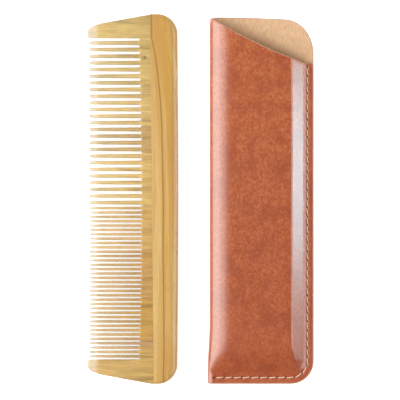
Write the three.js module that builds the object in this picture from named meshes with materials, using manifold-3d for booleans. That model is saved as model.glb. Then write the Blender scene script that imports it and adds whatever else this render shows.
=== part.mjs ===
// A wooden beard comb and the folded leather sleeve that it is carried in, laid side by side.
// Units are millimetres. +Z is up and both pieces lie flat on z = 0. The comb's length runs
// along Y and its teeth point to -X; the sleeve lies on its +X side with its mouth towards +Y.
// The origin is under the middle of the pair.
import * as THREE from 'three';
import { mergeVertices } from 'three/addons/utils/BufferGeometryUtils.js';
import Module from 'manifold-3d';

const wasm = await Module();
wasm.setup();

// ---------------------------------------------------------------- driving dimensions

const comb = {
  length: 190,
  width: 46.6,
  thickness: 5.5,
  spineWidth: 13.6, // back edge to glue seam, at mid-length
  seamSkew: 1.8, // how much wider the spine is at its +Y end than at its -Y end
  spineCrown: 0.5, // bulge of the long back edge
  cornerRadius: 10.1,
  backRound: 4, // how far the rounding of the back edge reaches in
  backLand: 0.2, // height of the band between the two roundings
  endRound: 0.9, // the same on the two ends of the tooth board
  guardDrop: 6, // fall of each end from its high point to the guard tooth's tip
  guardTipRound: 2.6,
};

const teeth = {
  coarseCount: 25,
  fineCount: 35,
  coarseToFine: 1.527, // coarse pitch over fine pitch
  guardSpan: 13.1, // comb end to the middle of the first gap
  rootDepth: 26.6, // guard tip line to the bottom of the end gaps
  rootBow: 1.2, // extra depth of the gaps at mid-length
  tipSetback: 0.7, // how far the teeth stop short of the guard tips
  tipBow: 0.4,
  rootShare: 0.58, // tooth width over pitch at the root
  tipShare: 0.5,
  pointShare: 0.26, // the same across the very end
  pointRun: 2.2, // length of the narrowing towards the point
  bevelRun: 4.8, // length of the bevel that thins each tip
  bevelThickness: 3.4, // thickness where that bevel starts
  tipThickness: 1.2,
};

// Teeth in each board block, from the +Y end: coarse blocks, then fine blocks.
const blockTeeth = [7, 6, 4, 8, 10, 11, 10, 4];

const tongue = {
  thickness: 2,
  depth: 4,
  endSetback: 14, // the groove stops this far from the comb's ends
  clearance: 0.15,
};

const glueLine = 0.1;

const sleeve = {
  leather: 1.1,
  lining: 0.4,
  sideClearance: 0.6,
  heightClearance: 0.5,
  combProud: 6.3, // how much of the comb stands out of the mouth
  seamAllowance: 4.8, // width of the flat stitched margin
  sideSlope: 6.6, // run of the front panel down to the side margin
  endSlope: 11,
  foldLevel: 3.6, // height of the fold's outermost line
  foldLowRun: 3.2,
  foldHighRun: 8,
  mouthDrop: 23.5, // fall of the front panel's edge from fold to side seam
  mouthSag: 1.8,
  mouthStart: 1.4, // where that edge leaves the fold
  topFall: 1, // fall of the back panel's top edge
  topCornerWidth: 15,
  topCornerHeight: 18,
  bottomCornerRadius: 11.8,
  liningInset: 0.3, // painted edge outside the lining
};

const stitch = {
  inset: 3.25, // outer edge to thread
  width: 0.8,
  height: 0.5,
  startBelowMouth: 1.2,
  endFromFold: 3.3,
  clearance: 0.1,
};

const layGap = 15.9; // open space between the comb and the sleeve as they lie

const colours = {
  spineWood: 0xd9a65c,
  boardWood: [0xd2ab66, 0xe0b971, 0xc6a062, 0xdcb56e, 0xd9b16a, 0xcb9d5a, 0xcd9d50, 0xd3a75f],
  leather: 0xb5633b,
  lining: 0xe3c39a,
  thread: 0xe6b58c,
};

// ---------------------------------------------------------------- worked-out sizes

const middleZ = comb.thickness / 2;
const halfLength = comb.length / 2;

const rowLength = comb.length - 2 * teeth.guardSpan;
const coarsePitch = rowLength / (teeth.coarseCount + teeth.fineCount / teeth.coarseToFine);
const finePitch = coarsePitch / teeth.coarseToFine;
const toothCount = teeth.coarseCount + teeth.fineCount;

const wall = sleeve.leather + glueLine + sleeve.lining;
const marginHeight = 2 * wall;
const sleeveWidth = wall + comb.width + sleeve.sideClearance + sleeve.seamAllowance;
const sleeveLength = comb.length - sleeve.combProud + sleeve.seamAllowance;
const sleeveHeight = comb.thickness + sleeve.heightClearance + 2 * wall;
const mouthEndX = sleeveWidth - sleeve.seamAllowance;
const mouthEndY = sleeveLength - sleeve.mouthDrop;

const setWidth = comb.width + layGap + sleeveWidth;
const past = 5; // how far cutting shapes run past what they cut
const roundSteps = 5;
const cornerFacets = 5;

// ---------------------------------------------------------------- solid helpers

const PLAN = [[1, 0, 0], [0, 1, 0], [0, 0, 1]]; // shape drawn in X-Y, pushed along Z
const ACROSS = [[1, 0, 0], [0, 0, 1], [0, -1, 0]]; // shape drawn in X-Z, pushed along -Y

function solidFrom(geometry) {
  geometry.deleteAttribute('normal');
  geometry.deleteAttribute('uv');
  const merged = mergeVertices(geometry, 1e-5);
  const vertProperties = Float32Array.from(merged.attributes.position.array);
  const triVerts = Uint32Array.from(merged.index.array);
  return new wasm.Manifold(new wasm.Mesh({ numProp: 3, vertProperties, triVerts }));
}

function geometryFrom(solid) {
  const mesh = solid.getMesh();
  const geometry = new THREE.BufferGeometry();
  geometry.setAttribute('position', new THREE.BufferAttribute(mesh.vertProperties, 3));
  geometry.setIndex(new THREE.BufferAttribute(mesh.triVerts, 1));
  const flat = geometry.toNonIndexed();
  flat.computeVertexNormals();
  return flat;
}

function extrude(shape, plane, from, to, options = {}) {
  const settings = { depth: to - from, bevelEnabled: false, curveSegments: roundSteps, ...options };
  const geometry = new THREE.ExtrudeGeometry(shape, settings);
  geometry.translate(0, 0, from);
  geometry.applyMatrix4(new THREE.Matrix4().makeBasis(...plane.map((axis) => new THREE.Vector3(...axis))));
  return solidFrom(geometry);
}

// A slab between two heights whose upper and lower edges are rounded by a quarter ellipse.
function roundedSlab(shape, thickness, run, height, steps) {
  const options = { bevelEnabled: true, bevelSize: run, bevelOffset: -run, bevelThickness: height };
  return extrude(shape, PLAN, height, thickness - height, { ...options, bevelSegments: steps });
}

function polygon(points) {
  return new THREE.Shape(points.map(([x, y]) => new THREE.Vector2(x, y)));
}

function planPrism(points, low, high) {
  return extrude(polygon(points), PLAN, low, high);
}

function joined(solids) {
  return solids.reduce((sum, solid) => sum.add(solid));
}

function namedMesh(name, solid, colour, roughness) {
  const material = new THREE.MeshStandardMaterial({ color: colour, roughness, metalness: 0 });
  const mesh = new THREE.Mesh(geometryFrom(solid), material);
  mesh.name = name;
  return mesh;
}

// ---------------------------------------------------------------- comb

function seamX(y) {
  return comb.width - comb.spineWidth - (comb.seamSkew * y) / comb.length;
}

// A plan region whose two long sides are offsets of the slanted seam.
function seamBand(left, right, low, high, bottom, top) {
  const corners = [[left, low], [right, low], [right, high], [left, high]];
  return planPrism(corners.map(([offset, y]) => [seamX(y) + offset, y]), bottom, top);
}

// Adds the back edge of the comb to a shape that has reached the top end's high point.
function addBackEdge(shape) {
  const side = comb.width - comb.spineCrown;
  const centre = side - comb.cornerRadius;
  const turn = halfLength - comb.cornerRadius;
  shape.lineTo(centre, halfLength);
  shape.absarc(centre, turn, comb.cornerRadius, Math.PI / 2, 0, true);
  shape.quadraticCurveTo(comb.width + comb.spineCrown, 0, side, -turn);
  shape.absarc(centre, -turn, comb.cornerRadius, 0, -Math.PI / 2, true);
}

function combOutline() {
  const highPoint = seamX(0);
  const guardY = halfLength - comb.guardDrop;
  const slope = comb.guardDrop / highPoint;
  const round = comb.guardTipRound;
  const shape = new THREE.Shape();
  shape.moveTo(0, guardY - round);
  shape.quadraticCurveTo(0, guardY, round, guardY + round * slope);
  shape.lineTo(highPoint, halfLength);
  addBackEdge(shape);
  shape.lineTo(highPoint, -halfLength);
  shape.lineTo(round, -guardY - round * slope);
  shape.quadraticCurveTo(0, -guardY, 0, round - guardY);
  return shape;
}

function spineOutline() {
  const inner = seamX(0) - comb.spineWidth;
  const shape = new THREE.Shape();
  shape.moveTo(inner, -halfLength);
  shape.lineTo(inner, halfLength);
  addBackEdge(shape);
  return shape;
}

// Side view of the comb: full thickness at the board, a wedge along the teeth, a bevel at the tips.
function thicknessProfile() {
  const upper = [
    [-past, teeth.tipThickness / 2],
    [0, teeth.tipThickness / 2],
    [teeth.bevelRun, teeth.bevelThickness / 2],
    [teeth.rootDepth, middleZ],
    [comb.width + past, middleZ],
  ];
  const lower = upper.map(([x, half]) => [x, -half]).reverse();
  return polygon([...upper, ...lower].map(([x, offset]) => [x, middleZ + offset]));
}

// Y of the middle of the gap that follows the first `count` teeth, counted from the +Y end.
function gapY(count) {
  const coarse = Math.min(count, teeth.coarseCount);
  const fine = count - coarse;
  return rowLength / 2 - coarse * coarsePitch - fine * finePitch;
}

function bowed(edge, bow, y) {
  return edge + bow * (1 - (2 * y / rowLength) ** 2);
}

// The open space after the first `count` teeth. Its two sides follow the pitch of the teeth there.
function gapCutter(count) {
  const y = gapY(count);
  const above = count <= teeth.coarseCount ? coarsePitch : finePitch;
  const below = count < teeth.coarseCount ? coarsePitch : finePitch;
  const tipX = bowed(teeth.tipSetback, teeth.tipBow, y);
  const half = (share, pitch) => (pitch * (1 - share)) / 2;
  const rootAbove = half(teeth.rootShare, above);
  const rootBelow = half(teeth.rootShare, below);
  const rootX = bowed(teeth.rootDepth, teeth.rootBow, y) - rootAbove;
  const shape = new THREE.Shape();
  shape.moveTo(-past, y + half(teeth.pointShare, above));
  shape.lineTo(tipX, y + half(teeth.pointShare, above));
  shape.lineTo(tipX + teeth.pointRun, y + half(teeth.tipShare, above));
  shape.lineTo(rootX, y + rootAbove);
  shape.quadraticCurveTo(rootX + rootAbove, y + rootAbove, rootX + rootAbove, y);
  shape.quadraticCurveTo(rootX + rootAbove, y - rootBelow, rootX, y - rootBelow);
  shape.lineTo(tipX + teeth.pointRun, y - half(teeth.tipShare, below));
  shape.lineTo(tipX, y - half(teeth.pointShare, below));
  shape.lineTo(-past, y - half(teeth.pointShare, below));
  return extrude(shape, PLAN, -past, comb.thickness + past, { curveSegments: 3 });
}

// Everything in front of the bowed line that the tooth tips stop at, between the guard teeth.
function tipTrim() {
  const reach = rowLength / 2;
  const shape = new THREE.Shape();
  shape.moveTo(-past, -reach);
  shape.lineTo(teeth.tipSetback, -reach);
  shape.quadraticCurveTo(teeth.tipSetback + 2 * teeth.tipBow, 0, teeth.tipSetback, reach);
  shape.lineTo(-past, reach);
  return extrude(shape, PLAN, -past, comb.thickness + past, { curveSegments: 12 });
}

function tongueBand(low, high, slack) {
  const half = tongue.thickness / 2 + slack;
  return seamBand(-1, tongue.depth + slack, low, high, middleZ - half, middleZ + half);
}

function buildSpine() {
  const reach = halfLength - tongue.endSetback;
  const roundHeight = (comb.thickness - comb.backLand) / 2;
  const blank = roundedSlab(spineOutline(), comb.thickness, comb.backRound, roundHeight, 4);
  const kept = seamBand(glueLine / 2, comb.width, -halfLength - past, halfLength + past, -past, comb.thickness + past);
  const groove = tongueBand(-reach - tongue.clearance, reach + tongue.clearance, tongue.clearance);
  return namedMesh('comb_spine', blank.intersect(kept).subtract(groove), colours.spineWood, 0.35);
}

function buildBoardBlocks() {
  const slab = roundedSlab(combOutline(), comb.thickness, comb.endRound, comb.endRound, 2);
  const wedge = extrude(thicknessProfile(), ACROSS, -halfLength - past, halfLength + past);
  const board = slab.intersect(wedge);
  const trim = tipTrim();
  const reach = halfLength - tongue.endSetback;
  let first = 0;
  return blockTeeth.map((count, index) => {
    const last = first + count;
    const high = first === 0 ? halfLength + past : gapY(first) - glueLine / 2;
    const low = last === toothCount ? -halfLength - past : gapY(last) + glueLine / 2;
    const region = seamBand(-comb.width, -glueLine / 2, low, high, -past, comb.thickness + past);
    const tenon = tongueBand(Math.max(low, -reach), Math.min(high, reach), 0);
    const gaps = Array.from({ length: count + 1 }, (_, k) => gapCutter(first + k));
    const solid = board.intersect(region).add(tenon).subtract(joined([trim, ...gaps]));
    first = last;
    return namedMesh(`tooth_block_${index + 1}`, solid, colours.boardWood[index], 0.4);
  });
}

// ---------------------------------------------------------------- sleeve

// Section across the sleeve at a depth `inset` under its outer surface: a flat back, the
// rounded fold on the left and a flat front.
function foldSection(inset) {
  const top = sleeveHeight - inset;
  const { foldLevel, foldLowRun, foldHighRun } = sleeve;
  const shape = new THREE.Shape();
  shape.moveTo(sleeveWidth + past, inset);
  shape.lineTo(foldLowRun, inset);
  shape.absellipse(foldLowRun, foldLevel, foldLowRun - inset, foldLevel - inset, -Math.PI / 2, -Math.PI, true);
  shape.absellipse(foldHighRun, foldLevel, foldHighRun - inset, top - foldLevel, Math.PI, Math.PI / 2, true);
  shape.lineTo(sleeveWidth + past, top);
  return shape;
}

// Everything behind one facet of the slope that brings the front panel down to the stitched
// margin. The facet faces `turnAngle` round the closed corner: 0 is the side, a right angle the end.
function behindSlope(turnAngle, inset) {
  const share = turnAngle / (Math.PI / 2);
  const run = sleeve.sideSlope + (sleeve.endSlope - sleeve.sideSlope) * share;
  const tilt = Math.atan2(sleeveHeight - marginHeight, run);
  const foot = sleeve.bottomCornerRadius - sleeve.seamAllowance;
  const reach = (z) => foot + (marginHeight - z) / Math.tan(tilt) - inset / Math.sin(tilt);
  const far = sleeveLength + sleeveWidth;
  const top = sleeveHeight - inset;
  const section = polygon([[-far, inset], [reach(inset), inset], [reach(top), top], [-far, top]]);
  return extrude(section, ACROSS, -far, far)
    .rotate([0, 0, THREE.MathUtils.radToDeg(-turnAngle)])
    .translate([sleeveWidth - sleeve.bottomCornerRadius, sleeve.bottomCornerRadius, 0]);
}

function bag(inset) {
  const across = extrude(foldSection(inset), ACROSS, -sleeveLength - past, past);
  const turns = Array.from({ length: cornerFacets + 1 }, (_, k) => (k * Math.PI) / 2 / cornerFacets);
  return turns.reduce((solid, angle) => solid.intersect(behindSlope(angle, inset)), across);
}

// The strip along the side and the closed end where the two panels lie flat on each other.
function marginRegion(low, high) {
  const sideX = mouthEndX - sleeve.lining;
  const endY = sleeve.seamAllowance + sleeve.lining;
  const farX = sleeveWidth + past;
  const farY = sleeveLength + past;
  return planPrism([[-past, -past], [farX, -past], [farX, farY], [sideX, farY], [sideX, endY], [-past, endY]], low, high);
}

function margin(inset) {
  const run = sleeve.foldLowRun;
  const shape = new THREE.Shape();
  shape.moveTo(sleeveWidth + past, inset);
  shape.lineTo(run, inset);
  shape.absellipse(run, wall, run - inset, wall - inset, -Math.PI / 2, (-3 * Math.PI) / 2, true);
  shape.lineTo(sleeveWidth + past, marginHeight - inset);
  const plate = extrude(shape, ACROSS, -sleeveLength - past, past);
  return plate.intersect(marginRegion(-past, marginHeight + past));
}

function folded(inset) {
  return bag(inset).add(margin(inset));
}

function sleeveOutline(inset) {
  const { topCornerWidth, topCornerHeight, bottomCornerRadius, topFall } = sleeve;
  const right = sleeveWidth - inset;
  const cornerY = sleeveLength - topFall - topCornerHeight;
  const turn = bottomCornerRadius;
  const shape = new THREE.Shape();
  shape.moveTo(-past, inset);
  shape.lineTo(sleeveWidth - turn, inset);
  shape.absarc(sleeveWidth - turn, turn, turn - inset, -Math.PI / 2, 0, false);
  shape.lineTo(right, cornerY);
  const cornerX = sleeveWidth - topCornerWidth;
  shape.absellipse(cornerX, cornerY, topCornerWidth - inset, topCornerHeight - inset, 0, Math.PI / 2, false);
  shape.lineTo(0, sleeveLength - inset);
  shape.lineTo(-past, sleeveLength - inset);
  return extrude(shape, PLAN, -past, sleeveHeight + past, { curveSegments: 8 });
}

// The front panel's slanted edge: everything above it and beyond it is left open.
function mouthCut() {
  const middleX = (sleeve.mouthStart + mouthEndX) / 2;
  const middleY = (sleeveLength + mouthEndY) / 2 - 2 * sleeve.mouthSag;
  const shape = new THREE.Shape();
  shape.moveTo(sleeve.mouthStart, sleeveLength + past);
  shape.lineTo(sleeve.mouthStart, sleeveLength);
  shape.quadraticCurveTo(middleX, middleY, mouthEndX, mouthEndY);
  shape.lineTo(sleeveWidth + past, mouthEndY);
  shape.lineTo(sleeveWidth + past, sleeveLength + past);
  return extrude(shape, PLAN, wall, sleeveHeight + past, { curveSegments: 8 });
}

// The seam's line at a distance from the outer edge, from the mouth round to the fold.
function traceSeam(shape, inset, backwards) {
  const turn = sleeve.bottomCornerRadius;
  const top = mouthEndY - stitch.startBelowMouth;
  const centreX = sleeveWidth - turn;
  if (backwards) {
    shape.lineTo(stitch.endFromFold, inset);
    shape.absarc(centreX, turn, turn - inset, -Math.PI / 2, 0, false);
    shape.lineTo(sleeveWidth - inset, top);
    return;
  }
  shape.moveTo(sleeveWidth - inset, top);
  shape.lineTo(sleeveWidth - inset, turn);
  shape.absarc(centreX, turn, turn - inset, 0, -Math.PI / 2, true);
  shape.lineTo(stitch.endFromFold, inset);
}

function seamStrip(slack, low, high) {
  const half = stitch.width / 2 + slack;
  const shape = new THREE.Shape();
  traceSeam(shape, stitch.inset - half, false);
  traceSeam(shape, stitch.inset + half, true);
  return extrude(shape, PLAN, low, high, { curveSegments: 6 });
}

function buildSleeve() {
  const mouth = mouthCut();
  const slit = marginRegion(wall - glueLine / 2, wall + glueLine / 2)
    .intersect(planPrism([[sleeve.foldLowRun, -past], [sleeveWidth + past, -past],
      [sleeveWidth + past, sleeveLength + past], [sleeve.foldLowRun, sleeveLength + past]], 0, marginHeight));
  const threadChannel = seamStrip(stitch.clearance, -past, stitch.height + stitch.clearance);

  const leather = folded(0).intersect(sleeveOutline(0))
    .subtract(folded(sleeve.leather))
    .subtract(mouth)
    .subtract(threadChannel);
  const lining = folded(sleeve.leather + glueLine).intersect(sleeveOutline(sleeve.liningInset))
    .subtract(bag(wall))
    .subtract(slit)
    .subtract(mouth);
  const needle = seamStrip(0, marginHeight, marginHeight + stitch.height);
  const bobbin = seamStrip(0, 0, stitch.height);

  return [
    namedMesh('sleeve_leather', leather, colours.leather, 0.3),
    namedMesh('sleeve_lining', lining, colours.lining, 0.95),
    namedMesh('needle_thread', needle, colours.thread, 0.7),
    namedMesh('bobbin_thread', bobbin, colours.thread, 0.7),
  ];
}

// ---------------------------------------------------------------- assembly

const combGroup = new THREE.Group();
combGroup.position.set(-setWidth / 2, 0, 0);
combGroup.add(buildSpine(), ...buildBoardBlocks());

const sleeveGroup = new THREE.Group();
sleeveGroup.position.set(setWidth / 2 - sleeveWidth, -halfLength, 0);
sleeveGroup.add(...buildSleeve());

const beardComb = new THREE.Group();
beardComb.add(combGroup, sleeveGroup);

export default beardComb;
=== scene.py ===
"""A wooden beard comb and its folded leather sleeve, lying side by side on a white table.

Lengths are millimetres until a mesh is made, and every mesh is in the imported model's frame.
"""
import math

import bpy
import numpy as np
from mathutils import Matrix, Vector
from mathutils.geometry import delaunay_2d_cdt


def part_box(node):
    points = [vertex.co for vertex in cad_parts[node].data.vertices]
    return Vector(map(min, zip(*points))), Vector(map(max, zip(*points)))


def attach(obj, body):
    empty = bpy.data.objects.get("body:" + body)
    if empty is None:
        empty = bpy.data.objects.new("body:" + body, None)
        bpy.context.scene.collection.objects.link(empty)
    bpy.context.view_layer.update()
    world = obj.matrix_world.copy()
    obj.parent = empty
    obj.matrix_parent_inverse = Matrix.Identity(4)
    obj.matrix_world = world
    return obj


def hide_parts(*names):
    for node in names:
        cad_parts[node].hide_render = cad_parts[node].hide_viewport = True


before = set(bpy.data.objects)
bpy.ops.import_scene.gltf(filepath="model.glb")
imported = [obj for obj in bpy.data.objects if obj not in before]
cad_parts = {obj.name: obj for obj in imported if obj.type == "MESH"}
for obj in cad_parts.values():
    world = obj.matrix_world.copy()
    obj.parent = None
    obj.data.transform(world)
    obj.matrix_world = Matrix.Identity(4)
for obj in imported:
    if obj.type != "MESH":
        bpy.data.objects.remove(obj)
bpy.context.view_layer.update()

MM = 0.001

# -------- driving dimensions

BLOCK_NODES = [f"tooth_block_{number}" for number in range(1, 9)]


def box_mm(*nodes):
    """Lowest and highest corner of some CAD nodes together, in millimetres."""
    corners = [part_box(node) for node in nodes]
    low = [min(box[0][axis] for box in corners) / MM for axis in range(3)]
    high = [max(box[1][axis] for box in corners) / MM for axis in range(3)]
    return low, high


COMB_LOW, COMB_HIGH = box_mm("comb_spine", *BLOCK_NODES)
SLEEVE_LOW, SLEEVE_HIGH = box_mm("sleeve_leather")

COMB_LEFT = COMB_LOW[0]
HALF_LENGTH = COMB_HIGH[1]
HALF_THICKNESS = COMB_HIGH[2] / 2

# The comb, measured from the line through its guard teeth's tips.
COMB_WIDTH = 46.6
SPINE_WIDTH = 13.6  # at mid-length
SEAM_SKEW = 1.8  # by which the spine's +Y end is wider
SPINE_CROWN = 0.5  # bulge of the back edge
CORNER_RADIUS = 10.1
BACK_ROUND = (4.0, 2.65)  # run and height of the rounding along the back edge
END_ROUND = (1.0, 0.9)
JOINT_EASE = 0.05  # edges broken along the glued joints
GUARD_DROP = 6.0  # fall of each end towards its guard tooth
GUARD_TIP_ROUND = (7.0, 2.6)  # rounding along the end and along the line of tips
GUARD_TIP_BULGE = 0.7  # where that rounding turns, below the end
GUARD_GAP_RADIUS = 0.7  # its other corner, at the gap
GLUE_LINE = 0.04
TONGUE_HALF = 1.0  # half its thickness
TONGUE_DEPTH = 4.0
TONGUE_SETBACK = 14.0  # from the comb's ends
TONGUE_SLACK = 0.15

# The teeth.
BLOCK_TEETH = [7, 6, 4, 8, 10, 11, 10, 4]
COARSE_COUNT = 25
FINE_COUNT = 35
COARSE_TO_FINE = 1.527  # coarse pitch over fine pitch
GUARD_SPAN = 13.1  # comb end to the middle of the first gap
ROOT_DEPTH, ROOT_BOW = 26.6, 1.2  # of the end gaps, and more at mid-length
TIP_SETBACK, TIP_BOW = 0.7, 0.4  # the same for the line of tips
ROOT_SHARE, TIP_SHARE, POINT_SHARE = 0.58, 0.52, 0.4  # tooth width over pitch
POINT_RUN = 1.6  # length of the narrowing towards the point
POINT_ROUND = (0.12, 0.32, 108, 252)  # its end's centre, reach and two angles
BEVEL_RUN = 4.8  # length of the bevel that thins each tip
BEVEL_HALF, TIP_HALF = 1.7, 0.6  # half the thickness where it starts and where it ends
TOOTH_EASE = 0.42  # most that its rounded edges reach in
ROOT_EASE = (0.38, 0.45)  # run and rise of the rounding round a gap's bottom

# The sleeve, measured from its fold and its closed end.
LEATHER = 1.1
LINING = 0.4
LAYER_GAP = 0.05  # between leather and lining
SLEEVE_WIDTH = SLEEVE_HIGH[0] - SLEEVE_LOW[0]
SLEEVE_LENGTH = SLEEVE_HIGH[1] - SLEEVE_LOW[1]
SLEEVE_HEIGHT = SLEEVE_HIGH[2]
MARGIN = 4.8  # width of the stitched margin
MARGIN_HEIGHT = 3.2
SIDE_SLOPE, END_SLOPE = 6.6, 11.0  # run of the front panel down to the margin
SIDE_CREASE, END_CREASE, FOOT_CREASE = 0.2, 0.75, 0.2  # softness, as shares of the rise
FOLD_LEVEL = 3.6  # height of the fold's outermost line
FOLD_LOW_RUN, FOLD_HIGH_RUN = 3.2, 12.0  # run of its curve down to the back and up to the front
FOLD_FLARE = 0.9  # how far the flattened end of the fold spreads
FLARE_END, FLARE_LENGTH, FLARE_REACH = 32.0, 24.0, 14.0  # where it stops, its fade and its width
MOUTH_START = 1.4  # where the slanted edge leaves the fold
MOUTH_DROP, MOUTH_SAG = 23.5, 1.8  # its fall from fold to side seam, and its bow
MOUTH_CORNER = 1.7  # radius of the corner at the edge's lower end
MOUTH_LANDING = (2.6, 0.8)  # the level stretch beside it
TOP_FALL, TOP_CORNER = 1.0, (15.0, 18.0)  # the back panel's top edge and its round corner
FOLD_TOP_DROP = 0.9  # the fold's end below the back panel's top edge
BOTTOM_RADIUS = 11.8
PANEL_WAVE = 0.1  # depth of the front panel's unevenness
LINING_INSET = 0.3  # painted edge outside the lining
LINING_EASE = 0.1  # depth of the rounding of the lining's edge
EDGE_DROP = 0.48  # depth of the rounding of the leather's painted edge
EDGE_RUN = 1.35  # its width over its depth

# The stitching.
SEAM_INSET = 3.25  # outer edge to thread
SEAM_TOP_DROP = 1.2  # seam's end below the mouth
SEAM_END = 2.3  # seam's other end from the fold
SEAM_MARGIN = 0.9  # seam beyond its first and last holes
STITCH_ABOUT = 4.5  # pitch, before it is fitted to the seam
STITCH_SETBACK = 0.42  # each end of a stitch from the middle of its hole
STITCH_LEAN = 0.2  # how far a stitch's ends lie off the seam's line
FRONT_STITCH = (MARGIN_HEIGHT - 0.75, MARGIN_HEIGHT + 0.12)  # heights of its ends and of its middle
BACK_STITCH = (1.0, 0.33)
THREAD_RADIUS = 0.34
THREAD_SIDES = 10
PLY_TWIST = 1.5  # length of one turn of the two plies
HOLE = (0.68, 0.4)  # half length and half width of a stitch hole
HOLE_LEAN = 24  # degrees from the seam's line
HOLE_EASE = 0.1  # depth of the rounding of a hole's edge
GROOVE = (0.6, 0.4, 0.26)  # depth, half width and fade of the one that holds the thread at the back
SEAM_DIP = (0.13, 0.75)  # depth and reach of the dip that the tight seam pulls in front
HOLE_DIP = (0.14, 0.8)  # the same at each hole, with its reach squared

# -------- small geometry helpers

SAME = 1e-6  # points closer than this are one point
NOTHING = 1e-9  # a length or an area below this counts as none
WELD_STEPS = 2000  # per millimetre: points in the same step are merged


def mix(a, b, share):
    """a at share 0 and b at share 1."""
    return a + (b - a) * share


def smooth(value):
    """0 to 1 with no corner at either end."""
    value = np.clip(value, 0, 1)
    return value * value * (3 - 2 * value)


def soft_min(a, b, radius):
    """The smaller of two numbers, rounded off where they are within radius of each other."""
    overlap = np.clip(radius - np.abs(a - b), 0, None) / radius
    return np.minimum(a, b) - overlap * overlap * radius / 4


def arc(centre, radii, start, end, steps):
    """Points on an ellipse between two angles in degrees."""
    angles = np.radians(np.linspace(start, end, steps + 1))
    return [(centre[0] + radii[0] * math.cos(a), centre[1] + radii[1] * math.sin(a)) for a in angles]


def quadratic(start, control, end, steps):
    """Points on a curve that leaves start towards control and turns to end."""
    points = []
    for t in np.linspace(0, 1, steps + 1):
        a, b, c = (1 - t) ** 2, 2 * t * (1 - t), t * t
        points.append(tuple(a * start[i] + b * control[i] + c * end[i] for i in range(2)))
    return points


def edge_normals(points):
    """The outward normal of the edge that leaves each point of an anticlockwise loop."""
    loop = np.array(points, float)
    along = np.roll(loop, -1, axis=0) - loop
    length = np.hypot(along[:, 0], along[:, 1])
    index = len(loop) - 1
    for i in list(range(len(loop))) * 2:  # a doubled point takes the normal of the edge before it
        if length[i] < NOTHING:
            along[i], length[i] = along[index], length[index]
        index = i
    return np.stack([along[:, 1], -along[:, 0]], axis=1) / length[:, None]


def inward(before, after, run_before, run_after):
    """The move that brings a corner in from its two edges by their own distances."""
    cross = before[0] * after[1] - before[1] * after[0]
    if abs(cross) < 0.02:
        normal = (before + after) / np.hypot(*(before + after))
        return -normal * (run_before + run_after) / 2
    x = (-run_before * after[1] + run_after * before[1]) / cross
    y = (-run_after * before[0] + run_before * after[0]) / cross
    return np.array([x, y])


def triangulate(points, outline, holes=()):
    """Triangles inside the outline and outside the holes, as indices into the points."""
    every = [Vector(p) for p in points]
    loops = []
    for loop in (outline, *holes):
        loops.append([v for k, v in enumerate(loop) if (every[v] - every[loop[k - 1]]).length > SAME])
    verts, _, faces, origin, _, inside = delaunay_2d_cdt(every, [], loops, 0, SAME / 10, True)
    kept = []
    for face, region in zip(faces, inside):
        a, b, c = (verts[i] for i in face)
        turn = (b - a).cross(c - a)
        if region != [0] or abs(turn) < NOTHING:
            continue
        corner = [origin[i][0] for i in face]
        kept.append(corner if turn > 0 else corner[::-1])
    return kept


def welded(points, faces, finishes):
    """Merges equal points and drops the faces that this closes up."""
    place, kept, index = {}, [], []
    for point in points:
        key = tuple(round(c * WELD_STEPS) for c in point)
        if key not in place:
            place[key] = len(kept)
            kept.append(point)
        index.append(place[key])
    clean, clean_finishes = [], []
    for face, finish in zip(faces, finishes):
        ring = [index[i] for i in face]
        ring = [v for k, v in enumerate(ring) if v != ring[k - 1]]
        if len(ring) > 2 and len(set(ring)) == len(ring):
            clean.append(ring)
            clean_finishes.append(finish)
    return kept, clean, clean_finishes


def ring_faces(start, count, levels):
    """Quads between closed rings of points, where ring follows ring from index start on."""
    faces = []
    for level in range(levels - 1):
        for i in range(count):
            a, b = start + level * count + i, start + level * count + (i + 1) % count
            faces.append((a, a + count, b + count, b))
    return faces


def placed(name, data):
    """A new object in the scene."""
    made = bpy.data.objects.new(name, data)
    bpy.context.scene.collection.objects.link(made)
    return made


def make_piece(name, shape, body, node, materials, sharp_angle=38):
    """A smooth-shaded mesh that stands for a CAD node and rides on a body. shape is its points, its
    faces and, where it has several materials, the number of each face's own."""
    points, faces, *finishes = shape
    points, faces, finishes = welded(points, faces, *finishes or [[0] * len(faces)])
    mesh = bpy.data.meshes.new(name)
    mesh.from_pydata([tuple(float(c) * MM for c in p) for p in points], [], faces)
    for material in materials:
        mesh.materials.append(material)
    mesh.polygons.foreach_set("material_index", finishes)
    mesh.update()
    mesh.shade_smooth()
    mesh.set_sharp_from_angle(angle=math.radians(sharp_angle))
    piece = placed(name, mesh)
    even = piece.modifiers.new("even_shading", "WEIGHTED_NORMAL")
    even.keep_sharp = True
    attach(piece, body)
    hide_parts(node)


# -------- camera, table and lights

VIEW_WIDTH = 206.0  # what the picture spans at the table
VIEW_CENTRE = (-0.36, -0.49)
LENS, SENSOR = 250.0, 36.0

ROOM_LIGHT = 0.22
TABLE_HALF = 6.0  # metres
TABLE_DROP = 0.00005  # metres below the object, so that no two faces share a plane
TABLE_GLOW = 0.6  # whitens the table, as the photo's background is


def add_camera():
    """A long lens straight above the middle of the pair."""
    camera = bpy.data.cameras.new("camera")
    camera.lens, camera.sensor_width = LENS, SENSOR
    holder = placed("camera", camera)
    height = VIEW_WIDTH * LENS / SENSOR
    holder.location = (VIEW_CENTRE[0] * MM, VIEW_CENTRE[1] * MM, height * MM)
    bpy.context.scene.camera = holder


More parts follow.
